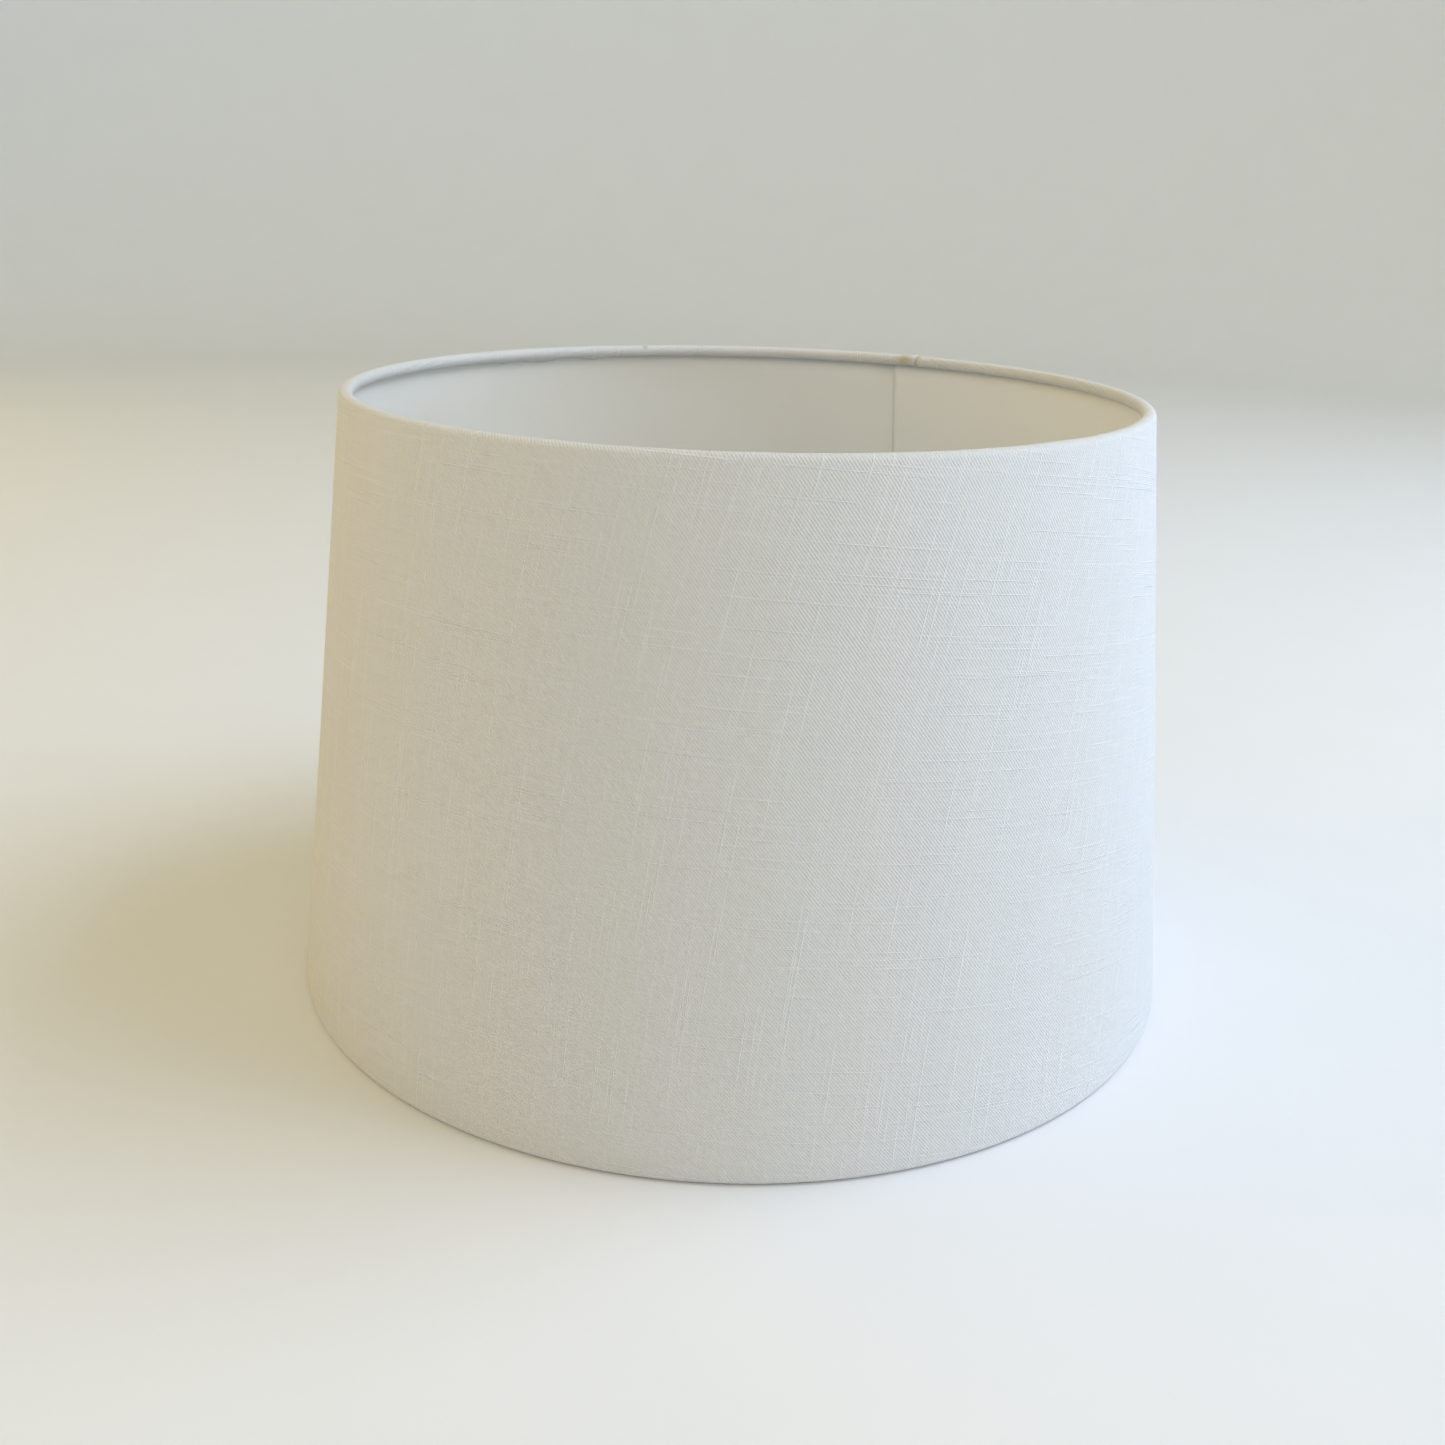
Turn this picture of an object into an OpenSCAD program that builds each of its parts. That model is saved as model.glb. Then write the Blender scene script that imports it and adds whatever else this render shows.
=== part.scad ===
// Tapered drum lamp shade, hard lined, with rolled hems over two wire rings.
// It stands on its bottom rim: z = 0 is the plane it rests on, and Z is the axis of the shade.
// One laminated panel (cloth outside, lining inside) goes once round, and its two ends lap at the seam.

/* [Overall] */
// Diameter over the cloth at the bottom rim
bottom_d = 350; // [280:1:450]
// Diameter over the cloth at the top rim
top_d = 300; // [220:1:400]
// Height over the cloth, from the bottom of one rolled hem to the top of the other
height = 230; // [150:1:320]

/* [Laminated panel] */
// Thickness of the slub cloth
fabric_t = 0.5; // [0.3:0.05:0.8]
// Thickness of the PVC lining that the cloth is laminated to
backing_t = 0.3; // [0.2:0.05:0.5]
// Clearance left for the adhesive between any two layers
glue_gap = 0.05; // [0.02:0.01:0.1]
// Direction of the lining's edge at the seam, counted from +X towards +Y
seam_angle = 70.6; // [50:0.1:110]
// How far the outer end of the panel laps over the inner end
lap_w = 13; // [10:0.5:20]
// Width of the double-sided tape in the seam
seam_tape_w = 9; // [5:0.5:9]
// Thickness of the double-sided tape in the seam
seam_tape_t = 0.15; // [0.1:0.05:0.3]

/* [Wire rings] */
// Diameter of the ring wire
wire_d = 3.2; // [2.5:0.1:4.5]
// Width of the tape that is wrapped round the ring wire
ring_tape_w = 9; // [6:0.5:9]
// Thickness of the tape on the ring wire
ring_tape_t = 0.2; // [0.1:0.05:0.3]

/* [Fitter] */
// Height of the fitter ring's underside above the bottom of the shade
fitter_z = 16; // [13:0.5:40]
// Outer diameter of the fitter ring
fitter_d = 60; // [56:1:80]
// Bore of the fitter ring, which passes an E27 lampholder
fitter_bore_d = 42; // [38:0.5:44]
// Thickness of the fitter ring's sheet steel
fitter_t = 1.2; // [0.8:0.1:2]
// Diameter of the spoke wire
spoke_d = 3; // [2:0.1:3.6]
// How steeply a spoke climbs from the bottom ring
spoke_rise = 45; // [35:1:60]
// How far a spoke's tip runs under the fitter ring
spoke_overlap = 4.5; // [3:0.5:6]
// Direction of the first spoke, counted from +X towards +Y
spoke_angle = 30; // [0:1:40]

/* [Reducer ring] */
// Bore of the reducer, which passes a small lampholder
reducer_bore_d = 29; // [27:0.5:32]
// Diameter of the flange that rests on the fitter ring
reducer_flange_d = 48; // [46:0.5:54]
// Thickness of the flange
reducer_flange_t = 1.6; // [1:0.1:2.5]
// Radial clearance of the collar in the fitter's bore
collar_gap = 0.2; // [0.15:0.05:0.4]
// Wall of the collar and of the rim round the bore
collar_wall = 1.8; // [1.2:0.1:2]
// How far the collar reaches below the fitter ring
collar_reach = 2; // [1:0.5:4]

/* [Hidden] */
$fn = 180;

// Layers round a ring wire, as radii from the middle of the wire
wire_r = wire_d / 2;
ring_tape_in = wire_r + glue_gap;
ring_tape_out = ring_tape_in + ring_tape_t;
core_r = ring_tape_out + glue_gap;               // inside of the rolled cloth, and face of the lining
wrap_out = core_r + fabric_t;                    // outside of the rolled cloth
wall_in = core_r + backing_t + glue_gap;         // inside of the cloth where it lies flat on the lining
wall_out = wall_in + fabric_t;

// Places of the two rings, as [radius, height] of the middle of the wire.
// The bottom roll is pressed a little flat where the shade stands on it.
press = 0.1;
bottom_at = [bottom_d / 2 - wall_out, wrap_out - press];
top_at = [top_d / 2 - wall_out, height - wrap_out];
lean = atan((bottom_at[0] - top_at[0]) / (top_at[1] - bottom_at[1]));   // of the wall, inwards

// The seam. The panel's outer end steps out over its inner end, which stops at seam_angle, and runs on to
// lap_end. It stands off the inner end by one whole laminate and its tape. The rolled hems are cut so
// that they meet edge to edge at lap_end, and only the flat of the panel is double.
lap_step = backing_t + fabric_t + seam_tape_t + 3 * glue_gap;
mm_deg = 360 / (PI * (bottom_d + top_d) / 2);    // degrees for one millimetre round the middle
function neat(a) = round(a * 100) / 100;         // whole hundredths, so that sections meet exactly
butt_gap = 0.2;                                  // between two edges that face each other in the seam
lining_step_at = neat(seam_angle + butt_gap * mm_deg);
lining_step_end = neat(lining_step_at + backing_t * mm_deg);
fabric_step_at = neat(lining_step_end + glue_gap * mm_deg);
fabric_step_end = neat(fabric_step_at + fabric_t * mm_deg);
lap_end = neat(seam_angle - lap_w * mm_deg);
hem_butt = neat(lap_end + butt_gap * mm_deg);

// The cloth's path round a ring: it leaves the wall, closes in on the wire within a quarter turn
// and goes on round until its raw edge is tucked in the wedge between the wire and the lining.
hem_steps = 24;
settle = 80;                                     // degrees that the cloth takes to close in
tuck_gap = 0.1;
function settled(a) = a < settle ? pow(cos(a * 90 / settle), 2) : 0;
function hem_r(a, wrap, wall) = wrap + (wall - wrap) * settled(a);
hem_turn = 360 - acos((core_r - tuck_gap) / wrap_out);
function at_ring(at, r, direction) = [at[0] + r * cos(direction), max(at[1] + r * sin(direction), 0)];
function hem_line(at, way, wrap, wall) =
    [for (i = [0:hem_steps]) let (a = i * hem_turn / hem_steps)
        at_ring(at, hem_r(a, wrap, wall), lean + way * a)];
function backwards(line) = [for (i = [len(line) - 1:-1:0]) line[i]];

// Section of the cloth from one raw edge to the other. inner and outer say how far its two faces stand
// off the lining, in layers: 0 is the panel as it goes round, and 1 is its end that lies over the seam.
module fabric_section(inner, outer) {
    in_wall = wall_in + inner * lap_step;
    out_wall = wall_out + outer * lap_step;
    polygon(concat(
        backwards(hem_line(bottom_at, -1, wrap_out, out_wall)),
        hem_line(top_at, 1, wrap_out, out_wall),
        backwards(hem_line(top_at, 1, core_r, in_wall)),
        hem_line(bottom_at, -1, core_r, in_wall)));
}

// Section of flat layers between the two rings. offs are the distances of their faces from the middle of
// the wire, square to the wall, and margin is how far they stop short of each ring.
module wall_section(offs, margin = 0) {
    up = [-sin(lean), cos(lean)] * margin;
    out = [cos(lean), sin(lean)];
    polygon(concat([for (off = offs) bottom_at + out * off + up],
                   backwards([for (off = offs) top_at + out * off - up])));
}

// Turns a section round the shade's axis from one direction to another
module around(from, to) {
    rotate_extrude(angle = to - from, start = from) children();
}

// A spoke climbs from the bottom ring, bends and runs level under the fitter ring
spoke_r = spoke_d / 2;
weld_gap = 0.02;
spoke_z = fitter_z - spoke_r - weld_gap;
spoke_tip = fitter_d / 2 - spoke_overlap;
spoke_climb = (spoke_z - bottom_at[1]) / sin(spoke_rise);
spoke_corner = bottom_at[0] - spoke_climb * cos(spoke_rise);
knuckle_r = 1.05 * spoke_r / cos(spoke_rise / 2);  // the wire swells a little where it is bent
slit_gap = 0.4;                                  // between a spoke and the slit in the cloth
slit_w = spoke_d + 2 * slit_gap;

// Puts its children at one of the three spokes
module at_spoke(k) {
    rotate([0, 0, spoke_angle + 120 * k]) children();
}

// Straight rod along the climb of a spoke, from one distance to another from the middle of the ring's wire
module climb(d, from, to) {
    translate([bottom_at[0], 0, bottom_at[1]]) rotate([0, spoke_rise - 90, 0])
        translate([0, 0, from]) cylinder(d = d, h = to - from);
}

// Slit in the rolled cloth: round where the spoke comes out, and open from there to the raw edge
module slit() {
    reach = wrap_out + 0.1;
    raw_edge = lean + 360 - hem_turn;
    way_out = 180 - spoke_rise;
    steps = 6;
    climb(slit_w, 0, reach + fabric_t);
    translate([bottom_at[0], slit_w / 2, bottom_at[1]]) rotate([90, 0, 0])
        linear_extrude(slit_w)
            polygon(concat([[0, 0]], [for (i = [0:steps])
                let (a = way_out + (raw_edge - 2 - way_out) * i / steps) [reach * cos(a), reach * sin(a)]]));
}

module outer_fabric() {
    color([0.93, 0.92, 0.89])
    difference() {
        union() {
            around(fabric_step_end, lap_end + 360) fabric_section(0, 0);
            around(lap_end, seam_angle) wall_section([wall_in, wall_out]);
            around(fabric_step_at, fabric_step_end) fabric_section(0, 1);
            around(hem_butt, fabric_step_at) fabric_section(1, 1);
        }
        for (k = [0:2]) at_spoke(k) slit();
    }
}

module backing_panel() {
    first = [core_r, core_r + backing_t];
    second = [core_r + lap_step, core_r + lap_step + backing_t];
    color([0.88, 0.87, 0.82])
    union() {
        around(lining_step_end, seam_angle + 360) wall_section(first);
        around(lining_step_at, lining_step_end) wall_section(concat(first, second));
        around(lap_end, lining_step_at) wall_section(second);
    }
}

module seam_tape() {
    middle = (seam_angle + lap_end) / 2;
    half = seam_tape_w / 2 * mm_deg;
    color([0.90, 0.86, 0.70])
    around(middle - half, middle + half)
        wall_section([wall_out + glue_gap, wall_out + glue_gap + seam_tape_t], 2);
}

module wire_ring(at) {
    translate([0, 0, at[1]]) rotate_extrude() translate([at[0], 0]) circle(d = wire_d);
}

module top_ring() {
    color([0.80, 0.81, 0.82]) wire_ring(top_at);
}

module bottom_ring() {
    color([0.80, 0.81, 0.82]) wire_ring(bottom_at);
}

// Tape wrapped round a ring wire, with its two edges apart on the side that faces the axis
module ring_tape(at) {
    half = ring_tape_w / (ring_tape_in + ring_tape_out) * 180 / PI;      // of the arc that it covers
    steps = 16;
    function arc(r) = [for (i = [0:steps])
        let (a = lean + half * (2 * i / steps - 1)) at + r * [cos(a), sin(a)]];
    rotate_extrude() polygon(concat(arc(ring_tape_out), backwards(arc(ring_tape_in))));
}

module top_ring_tape() {
    color([0.90, 0.86, 0.70]) ring_tape(top_at);
}

module bottom_ring_tape() {
    color([0.90, 0.86, 0.70])
    difference() {
        ring_tape(bottom_at);
        for (k = [0:2]) at_spoke(k) climb(slit_w, 0, wrap_out);
    }
}

module spoke(k) {
    color([0.80, 0.81, 0.82])
    at_spoke(k)
    union() {
        climb(spoke_d, wire_r + weld_gap, spoke_climb);
        translate([spoke_corner, 0, spoke_z]) sphere(r = knuckle_r);
        translate([spoke_tip, 0, spoke_z]) rotate([0, 90, 0]) cylinder(d = spoke_d, h = spoke_corner - spoke_tip);
    }
}

module spoke_1() { spoke(0); }

module spoke_2() { spoke(1); }

module spoke_3() { spoke(2); }

module fitter_ring() {
    edge = fitter_t / 3;                         // bevel left by the press on the outer edge
    in = fitter_bore_d / 2;
    out = fitter_d / 2;
    color([0.80, 0.81, 0.82])
    translate([0, 0, fitter_z])
    rotate_extrude()
        polygon([[in, 0], [out - edge, 0], [out, edge], [out, fitter_t - edge],
                 [out - edge, fitter_t], [in, fitter_t]]);
}

module reducer_ring() {
    bore = reducer_bore_d / 2;
    collar = fitter_bore_d / 2 - collar_gap;
    flange = reducer_flange_d / 2;
    deep = fitter_t + collar_reach;
    color([0.95, 0.95, 0.94])
    translate([0, 0, fitter_z + fitter_t])
    rotate_extrude()
        polygon([[bore, -deep], [bore + collar_wall, -deep], [bore + collar_wall, 0],
                 [collar - collar_wall, 0], [collar - collar_wall, -deep], [collar, -deep],
                 [collar, 0], [flange, 0], [flange, reducer_flange_t], [bore, reducer_flange_t]]);
}

outer_fabric();
backing_panel();
seam_tape();
top_ring();
bottom_ring();
top_ring_tape();
bottom_ring_tape();
spoke_1();
spoke_2();
spoke_3();
fitter_ring();
reducer_ring();
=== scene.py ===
from math import acos, atan2, cos, degrees, exp, hypot, pi, radians, sin

import bmesh
import bpy
from mathutils import Matrix, Vector, noise


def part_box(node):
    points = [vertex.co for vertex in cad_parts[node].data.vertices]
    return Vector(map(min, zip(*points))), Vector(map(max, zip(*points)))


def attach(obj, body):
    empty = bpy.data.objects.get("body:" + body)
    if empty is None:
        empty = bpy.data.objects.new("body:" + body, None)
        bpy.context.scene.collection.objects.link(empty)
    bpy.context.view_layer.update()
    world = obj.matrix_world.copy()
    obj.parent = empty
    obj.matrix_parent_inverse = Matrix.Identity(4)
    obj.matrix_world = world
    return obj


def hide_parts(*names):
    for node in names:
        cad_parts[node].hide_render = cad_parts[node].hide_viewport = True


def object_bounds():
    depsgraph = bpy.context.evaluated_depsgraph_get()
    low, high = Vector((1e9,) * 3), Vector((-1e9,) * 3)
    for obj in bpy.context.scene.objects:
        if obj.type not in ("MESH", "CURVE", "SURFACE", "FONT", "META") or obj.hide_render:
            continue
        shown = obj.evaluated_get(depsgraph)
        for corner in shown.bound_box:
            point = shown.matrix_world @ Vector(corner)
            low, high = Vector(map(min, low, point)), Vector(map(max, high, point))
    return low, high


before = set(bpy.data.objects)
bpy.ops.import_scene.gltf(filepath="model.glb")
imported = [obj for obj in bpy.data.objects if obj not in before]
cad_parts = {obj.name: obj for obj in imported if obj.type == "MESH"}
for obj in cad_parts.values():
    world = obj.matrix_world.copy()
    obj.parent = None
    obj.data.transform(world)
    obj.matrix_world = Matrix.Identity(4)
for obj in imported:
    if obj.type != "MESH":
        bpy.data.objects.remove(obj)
cad_low, cad_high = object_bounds()


# Wire rings: two hoops of 3.2 mm wire, butt welded and stove enamelled white. They stay hidden in the
# rolled hems, and set the shade's two diameters. The solids from the frame are kept as they are.

mm = 0.001


def ring_middle(node):
    """Radius and height of the middle of a ring's wire, and the wire's own radius."""
    low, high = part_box(node)
    wire = (high.z - low.z) / 2
    return high.x - wire, low.z + wire, wire


bottom_r, bottom_z, _ = ring_middle("bottom_ring")
top_r, top_z, wire_r = ring_middle("top_ring")


def new_finish(name, colour, roughness):
    """A material and its shader. What is the same all over is set on the shader itself."""
    finish = bpy.data.materials.new(name)
    finish.use_nodes = True
    shader = finish.node_tree.nodes["Principled BSDF"]
    shader.inputs["Base Color"].default_value = (*colour, 1)
    shader.inputs["Roughness"].default_value = roughness
    return finish, shader


def value(finish, operation, *terms):
    """Output of a Math node, whose terms are numbers or the outputs of other nodes."""
    made = finish.node_tree.nodes.new("ShaderNodeMath")
    made.operation = operation
    for socket, term in zip(made.inputs, terms):
        if isinstance(term, bpy.types.NodeSocket):
            finish.node_tree.links.new(term, socket)
        else:
            socket.default_value = term
    return made.outputs[0]


def blotches(finish, vector, scale, detail=2.0):
    """Noise from 0 to 1 over a vector, which is a node's output."""
    made = finish.node_tree.nodes.new("ShaderNodeTexNoise")
    made.inputs["Scale"].default_value = scale
    made.inputs["Detail"].default_value = detail
    finish.node_tree.links.new(vector, made.inputs["Vector"])
    return made.outputs["Fac"]


def ramp(finish, factor, low, high):
    """0 where factor is below low, 1 where it is above high, and smooth between them."""
    made = finish.node_tree.nodes.new("ShaderNodeMapRange")
    made.interpolation_type = "SMOOTHSTEP"
    made.inputs["From Min"].default_value = low
    made.inputs["From Max"].default_value = high
    finish.node_tree.links.new(factor, made.inputs["Value"])
    return made.outputs["Result"]


def tint(finish, factor, colour_a, colour_b):
    """Colour between two, each of which is three numbers or a node's output."""
    made = finish.node_tree.nodes.new("ShaderNodeMix")
    made.data_type = "RGBA"
    finish.node_tree.links.new(factor, made.inputs["Factor"])
    for name, colour in (("A", colour_a), ("B", colour_b)):
        socket = next(s for s in made.inputs if s.name == name and s.type == "RGBA")
        if isinstance(colour, bpy.types.NodeSocket):
            finish.node_tree.links.new(colour, socket)
        else:
            socket.default_value = (*colour, 1)
    return next(s for s in made.outputs if s.type == "RGBA")


def colour_by(finish, shader, colour):
    finish.node_tree.links.new(colour, shader.inputs["Base Color"])


def raise_by(finish, shader, height, depth):
    """Bumps the surface by height, which is 0 to 1, times depth in metres."""
    made = finish.node_tree.nodes.new("ShaderNodeBump")
    made.inputs["Distance"].default_value = depth
    finish.node_tree.links.new(height, made.inputs["Height"])
    finish.node_tree.links.new(made.outputs["Normal"], shader.inputs["Normal"])


def object_place(finish):
    return finish.node_tree.nodes.new("ShaderNodeTexCoord").outputs["Object"]


def white_enamel():
    """Stove enamel on steel: glossy, with orange peel, and thinner and greyer in places."""
    finish, shader = new_finish("white_enamel", (0.86, 0.86, 0.84), 0.32)
    place = object_place(finish)
    thin = ramp(finish, blotches(finish, place, scale=260, detail=4), low=0.52, high=0.78)
    colour_by(finish, shader, tint(finish, thin, (0.87, 0.87, 0.85), (0.70, 0.70, 0.68)))
    raise_by(finish, shader, blotches(finish, place, scale=1400), depth=0.06 * mm)
    shader.inputs["Coat Weight"].default_value = 0.35
    shader.inputs["Coat Roughness"].default_value = 0.12
    return finish


enamel = white_enamel()
for name in ("top_ring", "bottom_ring"):
    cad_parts[name].data.materials.clear()
    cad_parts[name].data.materials.append(enamel)


# Double-sided tape: thin clear film, a little yellow with its adhesive. One strip is wrapped round each
# ring, and one joins the two ends of the panel. All three are covered by the cloth.

def adhesive_film():
    finish, shader = new_finish("adhesive_film", (0.80, 0.74, 0.56), 0.4)
    cloudy = blotches(finish, object_place(finish), scale=180, detail=3)
    colour_by(finish, shader, tint(finish, cloudy, (0.84, 0.79, 0.62), (0.72, 0.64, 0.45)))
    raise_by(finish, shader, cloudy, depth=0.08 * mm)
    return finish


film = adhesive_film()
for name in ("top_ring_tape", "bottom_ring_tape", "seam_tape"):
    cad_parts[name].data.materials.clear()
    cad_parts[name].data.materials.append(film)


# Lining: 0.3 mm off-white PVC, cut as an arc and rolled round with the cloth laminated to it. It starts
# at the seam, goes once round clockwise, and steps out over its own start, whose cut edge shows inside.

lean = atan2(bottom_r - top_r, top_z - bottom_z)
wall_length = hypot(bottom_r - top_r, top_z - bottom_z)
wall_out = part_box("outer_fabric")[1].x - bottom_r
lining_t = 0.3 * mm
cloth_t = 0.5 * mm
tape_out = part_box("top_ring_tape")[1].z - top_z
glue_t = 0.05 * mm
core = tape_out + glue_t
seam_deg = 70.6
lap = 13 * mm
lap_step = 1.1 * mm
lap_deg = lap / ((bottom_r + top_r) / 2) * 180 / pi
step_deg = 6.0
slow_bow = 0.55
quick_bow = 0.22


def lap_lift(turn):
    """How far the panel stands off its first layer, turn degrees after its start."""
    run = min(max((turn - (360 - step_deg)) / step_deg, 0), 1)
    return lap_step * run * run * (3 - 2 * run)


def sway(turn):
    """How far the panel bows in or out. It is stiff, and bows along its whole height as it goes round."""
    angle = radians(seam_deg - turn)
    round_here = Vector((cos(angle), sin(angle), 0))
    slow = noise.noise(round_here * 2.1 + Vector((3.7, 0.4, 0.9)))
    quick = noise.noise(round_here * 6.5 + Vector((8.2, 5.1, 2.3)))
    return (slow_bow * slow + quick_bow * quick) * mm


def on_shade(turn, out, up):
    """Point at turn degrees clockwise from the panel's start, from radius and height off the axis."""
    angle = radians(seam_deg - turn)
    return Vector((out * cos(angle), out * sin(angle), up))


def wall_point(turn, along, off):
    """Point on a wall layer that lies off outside the line from ring to ring, along from the bottom."""
    share = along / wall_length
    bow = sway(turn) * max(4 * share * (1 - share), 0) ** 0.5
    off = off + lap_lift(turn) + bow
    out = bottom_r - along * sin(lean) + off * cos(lean)
    up = bottom_z + along * cos(lean) + off * sin(lean)
    return on_shade(turn, out, up)


def flat_panel(turns, rows):
    """Flat grid with a column for each degree and a row for each step along the cut. Its vertices are
    still indices: x counts columns and y counts rows, from 0."""
    sheet = bmesh.new()
    bmesh.ops.create_grid(sheet, x_segments=turns, y_segments=rows, size=0.5)
    bmesh.ops.scale(sheet, vec=(turns, rows, 1), verts=sheet.verts)
    bmesh.ops.translate(sheet, vec=(turns / 2, rows / 2, 0), verts=sheet.verts)
    return sheet


def finished_piece(name, shape, finish, body, *, thick=0.0):
    """Object made of a bmesh, with its place in its mesh, that rides on a body of the frame. A sheet
    gets its thickness here, half to each side."""
    mesh = bpy.data.meshes.new(name)
    shape.to_mesh(mesh)
    shape.free()
    piece = bpy.data.objects.new(name, mesh)
    bpy.context.scene.collection.objects.link(piece)
    mesh.materials.append(finish)
    mesh.shade_smooth()
    if thick:
        wall = piece.modifiers.new("thickness", "SOLIDIFY")
        wall.thickness = thick
        wall.offset = 0
        wall.use_even_offset = True
    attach(piece, body)
    return piece


def satin_pvc():
    """Calendered PVC: even and satin, very faintly mottled. The seam's tape shows as a thin yellowish line
    along the cut edge, and the line is also darkened as painted shade of the step there."""
    finish, shader = new_finish("satin_pvc", (0.90, 0.895, 0.87), 0.5)
    place = object_place(finish)
    mottle = blotches(finish, place, scale=22, detail=3)
    plain = tint(finish, mottle, (0.92, 0.915, 0.885), (0.885, 0.88, 0.85))
    split = finish.node_tree.nodes.new("ShaderNodeSeparateXYZ")
    finish.node_tree.links.new(place, split.inputs["Vector"])
    seam = radians(seam_deg)
    beside = value(finish, "SUBTRACT", value(finish, "MULTIPLY", split.outputs["X"], sin(seam)),
                   value(finish, "MULTIPLY", split.outputs["Y"], cos(seam)))
    away = ramp(finish, value(finish, "ABSOLUTE", beside), low=0.2 * mm, high=0.8 * mm)
    near = value(finish, "SUBTRACT", 1.0, away)
    back = value(finish, "GREATER_THAN", split.outputs["Y"], 0.0)
    # Thin line at the seam: the tape's yellow colour together with painted shade of the gap at the cut
    # edge.
    tape_and_shade_strength = 0.2
    line = value(finish, "MULTIPLY", near, value(finish, "MULTIPLY", back, tape_and_shade_strength))
    colour_by(finish, shader, tint(finish, line, plain, (0.62, 0.56, 0.42)))
    raise_by(finish, shader, blotches(finish, place, scale=700, detail=3), depth=0.05 * mm)
    shader.inputs["Specular IOR Level"].default_value = 0.35
    return finish


lining_columns = 365
lining_rows = 24
lining_turn = 360 + lap_deg
lining = flat_panel(lining_columns, lining_rows)
for vert in lining.verts:
    turn = vert.co.x / lining_columns * lining_turn
    along = vert.co.y / lining_rows * wall_length
    vert.co = wall_point(turn, along, core + lining_t / 2)
bmesh.ops.reverse_faces(lining, faces=lining.faces)
lining_piece = finished_piece("lining", lining, satin_pvc(), "shade", thick=lining_t)
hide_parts("backing_panel")


# Cloth: one arc of slub twill, laminated to the lining. Beyond the lining at both ends it rolls round
# the taped ring and its raw edge is pushed into the wedge between the ring and the lining.

wrap = core + cloth_t / 2
wall_mid = wall_out - cloth_t / 2
settle_deg = 80
tuck_play = 0.1 * mm
tuck_deg = degrees(acos((core - tuck_play) / (core + cloth_t)))
hem_deg = 360 - tuck_deg
hem_rows = 22
wall_rows = 40
cloth_columns = 365
spoke_degs = (30, 150, 270)
full_height = 0.30
crease_height = 0.16
fuller_from, fuller_span = 60, 220
ragged_deg = 291
ragged_width = 20


def pucker(turn, local):
    """The roll isn't even: it is fuller in places, with short creases where the cloth is pushed under."""
    angle = radians(seam_deg - turn)
    round_here = Vector((cos(angle), sin(angle), 0))
    fuller = min(max(local - fuller_from, 0), fuller_span)
    inward = max(sin(radians(fuller) * 180 / fuller_span), 0)
    full = noise.noise(round_here * 9 + Vector((1.3, 7.7, local * 0.004)))
    crease = noise.noise(Vector((turn * 0.55, local * 0.012, 4.2)))
    return inward * (full_height * full + crease_height * crease) * mm


def droop(turn, local):
    """How far the raw edge has slid down the lining. Most of it is tucked up, but one part is ragged."""
    late = min(max((local - 215) / 85, 0), 1)
    ragged = 0.25 + 2.0 * exp(-((turn - ragged_deg) / ragged_width) ** 2)
    broad = noise.noise(Vector((turn * 0.21, 1.7, 0)))
    ripple = broad + 0.4 * noise.noise(Vector((turn * 0.7, 9.1, 0)))
    return late * late * max(0.35 + 1.5 * ripple, 0) * ragged * mm


def hem_point(turn, local, top):
    """Point of the cloth local degrees round a ring, counted from where it leaves the wall."""
    ring_r, ring_z, way = (top_r, top_z, 1) if top else (bottom_r, bottom_z, -1)
    wall = wall_mid + lap_lift(turn)
    ease = cos(radians(local) * 90 / settle_deg) ** 2 if local < settle_deg else 0
    reach = wrap + (wall - wrap) * ease + pucker(turn, local)
    direction = lean + way * radians(local)
    slid = droop(turn, local) if top else 0
    out = ring_r + reach * cos(direction) + slid * sin(lean)
    up = ring_z + reach * sin(direction) - slid * cos(lean)
    return on_shade(turn, out, max(up, cloth_t / 2))


def cloth_row(row):
    """Which stretch of the cut a row is on, and how far along it: degrees in a hem, metres on the wall."""
    if row < hem_rows:
        return "bottom", hem_deg * (1 - row / hem_rows)
    if row > hem_rows + wall_rows:
        return "top", hem_deg * (row - hem_rows - wall_rows) / hem_rows
    return "wall", wall_length * (row - hem_rows) / wall_rows


def cut_height(row):
    """Height of a row in the flat cut, in metres above the line where the bottom roll begins."""
    stretch, along = cloth_row(row)
    if stretch == "wall":
        return along
    rolled = wrap * radians(along)
    return -rolled if stretch == "bottom" else wall_length + rolled


weft_lean = 0.0105
warp_lean = 0.014
warp_bow = 0.38


def grain(turn, row):
    """Where a point lies in the flat cloth, in metres along the weft and along the warp. The cut is an
    arc about the cone's apex. The weft runs a little uphill, and the warp leans more towards the top."""
    apex = bottom_r / sin(lean)
    height = cut_height(row)
    angle = radians(180 + lap_deg / 2 - turn) * sin(lean)
    across = (apex - height) * sin(angle)
    rise = apex - (apex - height) * cos(angle)
    return across - warp_lean * rise - warp_bow * rise * rise, rise + weft_lean * across


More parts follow.
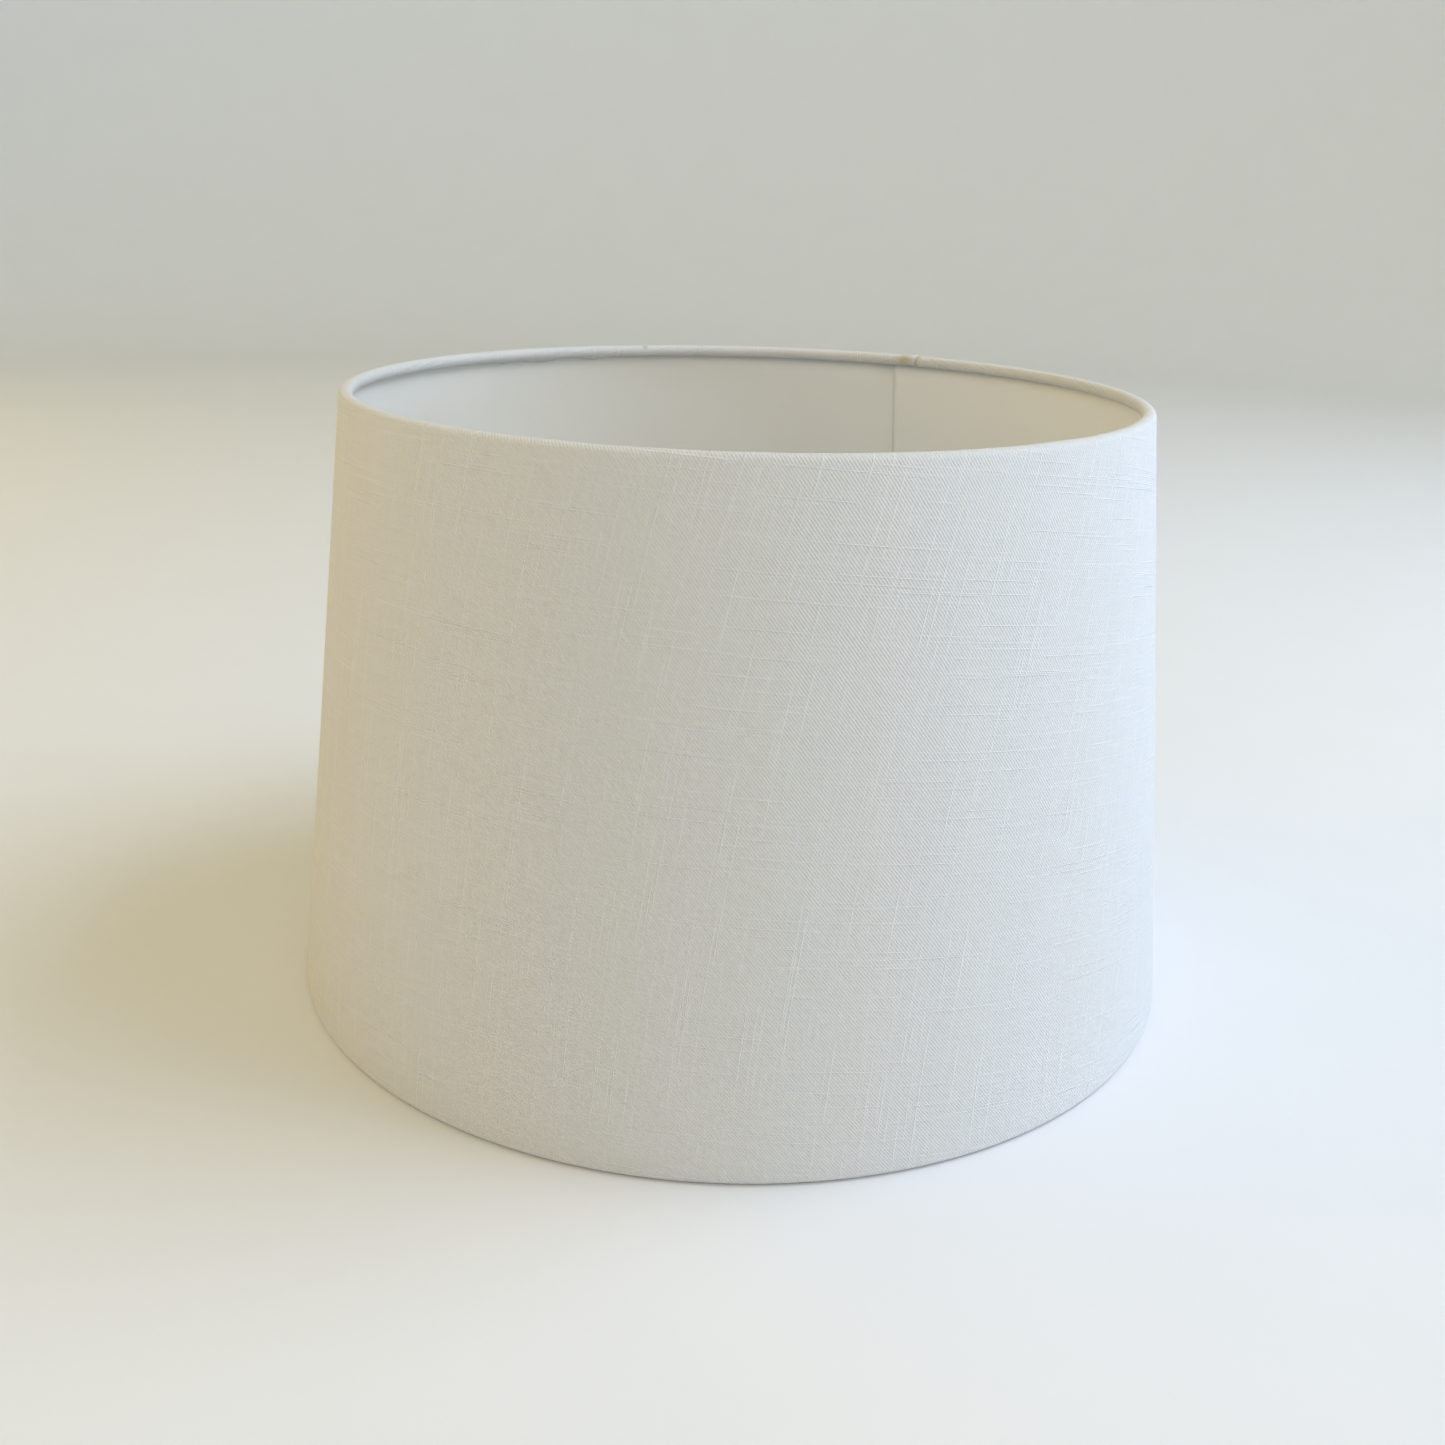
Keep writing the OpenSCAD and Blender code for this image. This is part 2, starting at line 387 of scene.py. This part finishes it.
def slub_twill():
    """Two-up two-down twill of undyed white yarn, with thick slubs in both warp and weft. At the lap the
    adhesive has come through the roll and yellowed it, and there is one small grey mark further round."""
    finish, shader = new_finish("slub_twill", (0.82, 0.81, 0.79), 0.88)
    nodes, links = finish.node_tree.nodes, finish.node_tree.links
    cut = nodes.new("ShaderNodeUVMap")
    cut.uv_map = "grain"
    split = nodes.new("ShaderNodeSeparateXYZ")
    links.new(cut.outputs["UV"], split.inputs["Vector"])
    weft, warp = split.outputs["X"], split.outputs["Y"]

    yarn = 0.30 * mm
    column = value(finish, "DIVIDE", weft, yarn)
    line = value(finish, "DIVIDE", warp, yarn)
    diagonal = value(finish, "DIVIDE", value(finish, "ADD", column, line), 4.0)
    rib = value(finish, "MULTIPLY", value(finish, "PINGPONG", diagonal, 0.5), 2.0)
    rounds = value(finish, "MULTIPLY", value(finish, "PINGPONG", column, 0.5),
                   value(finish, "PINGPONG", line, 0.5))
    loose = blotches(finish, cut.outputs["UV"], scale=900, detail=3)
    twill = value(finish, "ADD", value(finish, "MULTIPLY", rib, 0.6),
                  value(finish, "MULTIPLY", rounds, 0.8))
    worn = value(finish, "ADD", value(finish, "MULTIPLY", loose, 2.0), -0.2)
    weave = value(finish, "MULTIPLY", twill, worn)

    def threads(along, across, pitch, length, seed, low, high):
        """Stretches of a yarn that stand out: 0 to 1 along and across them, in rows pitch apart."""
        at = value(finish, "DIVIDE", across, pitch)
        spot = nodes.new("ShaderNodeCombineXYZ")
        links.new(value(finish, "DIVIDE", along, length), spot.inputs["X"])
        links.new(value(finish, "MULTIPLY", value(finish, "FLOOR", at), 3.71), spot.inputs["Y"])
        spot.inputs["Z"].default_value = seed
        stretch = ramp(finish, blotches(finish, spot.outputs["Vector"], 1.0, 2.0), low, high)
        middle = value(finish, "MULTIPLY", value(finish, "PINGPONG", at, 0.5), 2.0)
        return value(finish, "MULTIPLY", stretch, value(finish, "POWER", middle, 0.5))

    patches = ramp(finish, blotches(finish, cut.outputs["UV"], scale=24), low=0.34, high=0.60)
    crowd = value(finish, "ADD", 0.35, patches)
    thick_weft = threads(weft, warp, pitch=0.60 * mm, length=62 * mm, seed=1.7, low=0.565, high=0.70)
    thick_warp = threads(warp, weft, pitch=0.66 * mm, length=70 * mm, seed=6.3, low=0.575, high=0.72)
    fine_weft = threads(weft, warp, pitch=0.50 * mm, length=24 * mm, seed=11.9, low=0.45, high=0.75)
    fine_warp = threads(warp, weft, pitch=0.53 * mm, length=28 * mm, seed=15.2, low=0.45, high=0.75)
    thick = value(finish, "MULTIPLY", value(finish, "MAXIMUM", thick_weft, thick_warp), crowd)
    fine = value(finish, "MAXIMUM", fine_weft, fine_warp)
    fine_share = 0.42
    slub = value(finish, "MAXIMUM", thick, value(finish, "MULTIPLY", fine, fine_share))

    place = object_place(finish)
    uneven = blotches(finish, place, scale=30, detail=4)
    ground = tint(finish, uneven, (0.80, 0.795, 0.785), (0.77, 0.765, 0.755))
    # The hollows of the twill are painted darker: painted shade between the yarns, on top of the bump
    # below.
    weave_with_painted_shade = tint(finish, weave, (0.70, 0.695, 0.685), ground)
    yarns = tint(finish, value(finish, "MULTIPLY", slub, 0.75), weave_with_painted_shade, (0.88, 0.88, 0.87))

    def mark(turn, local, size):
        """1 at a place on the top roll, falling to 0 over size in metres, with a ragged edge."""
        near = nodes.new("ShaderNodeVectorMath")
        near.operation = "DISTANCE"
        links.new(place, near.inputs[0])
        near.inputs[1].default_value = hem_point(turn, local, True)
        ragged = value(finish, "MULTIPLY", blotches(finish, place, scale=900, detail=3), size * 0.9)
        edge = value(finish, "ADD", near.outputs["Value"], ragged)
        return value(finish, "SUBTRACT", 1.0, ramp(finish, edge, low=size * 0.35, high=size * 1.45))

    glue = value(finish, "MULTIPLY", mark(turn=2.6, local=150, size=6 * mm), 0.75)
    glued = tint(finish, glue, yarns, (0.50, 0.42, 0.24))
    smudge = value(finish, "MULTIPLY", mark(turn=314, local=130, size=2.2 * mm), 0.6)
    colour_by(finish, shader, tint(finish, smudge, glued, (0.36, 0.36, 0.34)))

    relief = value(finish, "ADD", value(finish, "MULTIPLY", weave, 0.6),
                   value(finish, "MULTIPLY", slub, 0.4))
    raise_by(finish, shader, relief, depth=0.55 * mm)
    shader.inputs["Sheen Weight"].default_value = 0.12
    shader.inputs["Sheen Roughness"].default_value = 0.6
    shader.inputs["Specular IOR Level"].default_value = 0.2
    return finish


cloth_rows = hem_rows + wall_rows + hem_rows
cloth_turn = 360 + lap_deg
cloth = flat_panel(cloth_columns, cloth_rows)
for vert in cloth.verts:
    vert.co.x = vert.co.x / cloth_columns * cloth_turn
grain_uv = cloth.loops.layers.uv.new("grain")
for face in cloth.faces:
    for loop in face.loops:
        loop[grain_uv].uv = grain(loop.vert.co.x, loop.vert.co.y)


slit_from_deg = 200
slit_half_deg = 0.5


def trimmed(face):
    """Cloth that is cut away: the inner end's hems under the lap, and a slit at each spoke."""
    middle = face.calc_center_median()
    stretch, along = cloth_row(middle.y)
    if stretch == "wall":
        return False
    if middle.x < lap_deg:
        return True
    apart = min(abs((seam_deg - middle.x - spoke + 180) % 360 - 180) for spoke in spoke_degs)
    return stretch == "bottom" and along > slit_from_deg and apart < slit_half_deg


bmesh.ops.delete(cloth, geom=[face for face in cloth.faces if trimmed(face)], context="FACES")
for vert in cloth.verts:
    turn = vert.co.x
    stretch, along = cloth_row(round(vert.co.y, 3))
    if stretch == "wall":
        vert.co = wall_point(turn, along, wall_mid)
    else:
        vert.co = hem_point(turn, along, stretch == "top")
bmesh.ops.reverse_faces(cloth, faces=cloth.faces)
cloth_piece = finished_piece("cloth", cloth, slub_twill(), "shade", thick=cloth_t)
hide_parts("outer_fabric")


# Fitter ring: pressed from 1.2 mm sheet steel, with its bore and its edge rounded by the tool, and
# enamelled with the spokes. The lampholder's shade ring clamps it through its 42 mm bore.

edge_round = 0.35 * mm
round_steps = 96
weld_dist = 0.001 * mm


def in_order(shape):
    """Sorts what a shape is made of by place, since the operators leave it in an order that varies."""
    def place(part):
        corners = getattr(part, "verts", [part])
        middle = sum((vert.co for vert in corners), Vector()) / len(corners)
        return tuple(round(length, 8) for length in middle)

    for parts in (shape.verts, shape.edges, shape.faces):
        for rank, part in enumerate(sorted(parts, key=place)):
            part.index = rank
        parts.sort()


def turned(outline):
    """Outline of points in radius and height, closed, rounded by a bevel and spun round the axis. The
    outline's own face is left inside the solid, and goes at the end."""
    shape = bmesh.new()
    points = [shape.verts.new((r, 0, z)) for r, z in outline]
    shape.faces.new(points)
    bmesh.ops.bevel(shape, geom=shape.verts[:], offset=edge_round, segments=3, profile=0.5,
                    affect="VERTICES", material=-1)
    spun = shape.faces[:] + shape.edges[:] + shape.verts[:]
    bmesh.ops.spin(shape, geom=spun, cent=(0, 0, 0), axis=(0, 0, 1), angle=2 * pi,
                   steps=round_steps, use_merge=True)
    bmesh.ops.remove_doubles(shape, verts=shape.verts, dist=weld_dist)
    inside = [face for face in shape.faces if len(face.verts) > 4]
    bmesh.ops.delete(shape, geom=inside, context="FACES_ONLY")
    bmesh.ops.recalc_face_normals(shape, faces=shape.faces)
    in_order(shape)
    return shape


fitter_low, fitter_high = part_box("fitter_ring")
fitter_r = fitter_high.x
fitter_bore = 21 * mm
fitter = turned([(fitter_bore, fitter_low.z), (fitter_r, fitter_low.z), (fitter_r, fitter_high.z),
                 (fitter_bore, fitter_high.z)])
fitter_piece = finished_piece("fitter_plate", fitter, enamel, "shade")
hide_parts("fitter_ring")


# Spokes: three 3 mm wires, welded to the bottom ring, bent level and welded under the fitter ring, each
# with its blob of weld at both ends. They are enamelled with the rings.

spoke_r = 1.5 * mm
rise_deg = 45
bend_r = 6 * mm
wire_sides = 20
bend_steps = 8
weld_squash = (1.25, 1.1, 0.62)
weld_rough = 0.2 * mm
spoke_z = fitter_low.z - spoke_r
spoke_tip = -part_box("spoke_3")[1].y
level_in = Vector((spoke_tip, 0, spoke_z))
climb = Vector((-cos(radians(rise_deg)), 0, sin(radians(rise_deg))))
ring_point = Vector((bottom_r, 0, bottom_z))
corner = ring_point + climb * ((spoke_z - bottom_z) / climb.z)
tangent = bend_r * (1 - cos(radians(rise_deg))) / sin(radians(rise_deg))


def open_end(made):
    """Edges of the new end of an open tube, out of what an operator made."""
    return [part for part in made if isinstance(part, bmesh.types.BMEdge) and part.is_boundary]


def drawn_on(wire, end, way):
    """Draws an open tube's end on by a vector, and gives its new end."""
    made = bmesh.ops.extrude_edge_only(wire, edges=end)["geom"]
    drawn = [part for part in made if isinstance(part, bmesh.types.BMVert)]
    bmesh.ops.translate(wire, vec=way, verts=drawn)
    return open_end(made)


for count, spoke_deg in enumerate(spoke_degs, 1):
    spoke = bmesh.new()
    bmesh.ops.create_circle(spoke, radius=spoke_r, segments=wire_sides)
    lift = climb.to_track_quat("Z", "Y").to_matrix().to_4x4()
    start = Matrix.Translation(ring_point + climb * wire_r)
    bmesh.ops.transform(spoke, matrix=start @ lift, verts=spoke.verts)
    climb_length = (corner - ring_point).length - tangent - wire_r
    climbed = drawn_on(spoke, spoke.edges[:], climb * climb_length)
    centre = Vector((corner.x - tangent, 0, corner.z - bend_r))
    rim = list(dict.fromkeys(vert for edge in climbed for vert in edge.verts))
    bent = bmesh.ops.spin(spoke, geom=climbed + rim, cent=centre, axis=(0, -1, 0),
                          angle=radians(rise_deg), steps=bend_steps)["geom_last"]
    drawn_on(spoke, open_end(bent), Vector((level_in.x - centre.x, 0, 0)))
    bmesh.ops.holes_fill(spoke, edges=spoke.edges, sides=0)
    ring_weld = ring_point + climb * (wire_r + 0.2 * mm)
    for weld, size in ((ring_weld, 2.1 * mm), (level_in, 1.9 * mm)):
        made = bmesh.ops.create_icosphere(spoke, subdivisions=3, radius=size)["verts"]
        bmesh.ops.scale(spoke, vec=weld_squash, verts=made)
        bmesh.ops.translate(spoke, vec=weld, verts=made)
        for vert in made:
            lump = noise.noise(vert.co * 900 + Vector((count, 0, 0)))
            vert.co += (vert.co - weld).normalized() * lump * weld_rough
    bmesh.ops.recalc_face_normals(spoke, faces=spoke.faces)
    round_to = Matrix.Rotation(radians(spoke_deg), 3, "Z")
    bmesh.ops.rotate(spoke, cent=(0, 0, 0), matrix=round_to, verts=spoke.verts)
    in_order(spoke)
    spoke_piece = finished_piece(f"spoke_wire_{count}", spoke, enamel, "shade")
    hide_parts(f"spoke_{count}")


# Reducer ring: moulded in white plastic, dropped into the fitter's bore from above. Its flange rests on
# the fitter ring, and its rim brings the bore down to 29 mm. It lifts out by hand.

def moulded_plastic():
    """Moulded polypropylene: satin white, with faint flow marks. The real plastic is slightly translucent;
    this finish is opaque.
    """
    finish, shader = new_finish("moulded_plastic", (0.86, 0.86, 0.84), 0.42)
    place = object_place(finish)
    flow = blotches(finish, place, scale=120, detail=3)
    colour_by(finish, shader, tint(finish, flow, (0.87, 0.87, 0.855), (0.80, 0.80, 0.78)))
    raise_by(finish, shader, blotches(finish, place, scale=1800), depth=0.03 * mm)
    shader.inputs["Specular IOR Level"].default_value = 0.45
    return finish


reducer_low, reducer_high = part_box("reducer_ring")
seat = fitter_high.z
flange_r = reducer_high.x
bore_r = 14.5 * mm
collar_play = 0.2 * mm
collar_r = fitter_bore - collar_play
wall = 1.8 * mm
reducer = turned([(bore_r, reducer_low.z), (bore_r + wall, reducer_low.z), (bore_r + wall, seat),
                  (collar_r - wall, seat), (collar_r - wall, reducer_low.z), (collar_r, reducer_low.z),
                  (collar_r, seat), (flange_r, seat), (flange_r, reducer_high.z),
                  (bore_r, reducer_high.z)])
reducer_piece = finished_piece("reducer_insert", reducer, moulded_plastic(), "reducer")
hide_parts("reducer_ring")


# Studio: a pale floor that curves up all round into a plain wall, so that every side of the shade is
# seen against it. It isn't part of the object.

floor_r = 2.2
sweep_r = 0.8
wall_high = 3.0
sweep_steps = 16
studio = bmesh.new()
edge_start = studio.verts.new((floor_r, 0, 0))
bmesh.ops.spin(studio, geom=[edge_start], cent=(floor_r, 0, sweep_r), axis=(0, -1, 0),
               angle=pi / 2, steps=sweep_steps)
studio.verts.ensure_lookup_table()
wall_top = studio.verts.new((floor_r + sweep_r, 0, wall_high))
sweep_top = max(studio.verts[:-1], key=lambda vert: vert.co.z)
studio.edges.new((sweep_top, wall_top))
middle_vert = studio.verts.new((0, 0, 0))
studio.edges.new((middle_vert, edge_start))
bmesh.ops.spin(studio, geom=studio.edges[:] + studio.verts[:], cent=(0, 0, 0), axis=(0, 0, 1),
               angle=2 * pi, steps=round_steps, use_merge=True)
bmesh.ops.remove_doubles(studio, verts=studio.verts, dist=1e-5)
bmesh.ops.recalc_face_normals(studio, faces=studio.faces)
studio_mesh = bpy.data.meshes.new("studio_sweep")
studio.to_mesh(studio_mesh)
studio.free()
studio_mesh.shade_smooth()
studio_sweep = bpy.data.objects.new("studio_sweep", studio_mesh)
bpy.context.scene.collection.objects.link(studio_sweep)
paper, paper_shader = new_finish("studio_paper", (0.85, 0.86, 0.89), 0.7)
paper_grain = blotches(paper, object_place(paper), scale=14, detail=3)
colour_by(paper, paper_shader, tint(paper, paper_grain, (0.845, 0.855, 0.89), (0.82, 0.83, 0.865)))
studio_mesh.materials.append(paper)


# Lights: daylight from a broad window on the right, with its bounce off a warm wall on the left and a
# pale one in front, and a soft sky all round. Each light faces the middle of the shade.

shade_middle = (cad_low + cad_high) / 2


def soft_light(name, place, size, colour, watts):
    lamp = bpy.data.lights.new(name, "AREA")
    lamp.shape = "RECTANGLE"
    lamp.size, lamp.size_y = size
    lamp.color = colour
    lamp.energy = watts
    held = bpy.data.objects.new(name, lamp)
    held.location = place
    held.rotation_euler = (shade_middle - Vector(place)).to_track_quat("-Z", "Y").to_euler()
    bpy.context.scene.collection.objects.link(held)


soft_light("window_high", place=(1.25, 0.25, 1.75), size=(1.4, 1.2), colour=(0.672, 0.79, 1.0), watts=28.3)
soft_light("window_low", place=(1.9, 0.1, 0.22), size=(1.5, 0.35), colour=(0.494, 0.69, 1.0), watts=16.1)
soft_light("warm_wall", place=(-1.9, 0.1, 0.7), size=(1.8, 1.2), colour=(1.0, 0.609, 0.02), watts=10.6)
soft_light("front_fill", place=(0.2, -1.5, 1.5), size=(1.8, 1.2), colour=(1.0, 0.84, 0.708), watts=6.9)
sky = bpy.data.worlds.new("soft_sky")
sky.use_nodes = True
overhead = sky.node_tree.nodes["Background"]
overhead.inputs["Color"].default_value = (1.0, 0.947, 0.539, 1)
overhead.inputs["Strength"].default_value = 0.426
bpy.context.scene.world = sky
bpy.context.scene.view_settings.view_transform = "Standard"


# Camera: a short lens close to the shade and above its rim, looking down into it. It is carried round
# the shade, then set back and raised, and then panned, tipped down and rolled.

eye = bpy.data.cameras.new("eye")
eye.sensor_width = 36
eye.lens = 37.79
camera = bpy.data.objects.new("eye", eye)
round_deg = 7.5
away = 0.5818
above = 0.3029
pan_deg = 0.564
down_deg = 19.66
roll_deg = 1.561
camera.matrix_world = (Matrix.Rotation(radians(round_deg), 4, "Z")
                       @ Matrix.Translation((0, -away, above))
                       @ Matrix.Rotation(radians(pan_deg), 4, "Z")
                       @ Matrix.Rotation(radians(90 - down_deg), 4, "X")
                       @ Matrix.Rotation(radians(roll_deg), 4, "Z"))
bpy.context.scene.collection.objects.link(camera)
bpy.context.scene.camera = camera
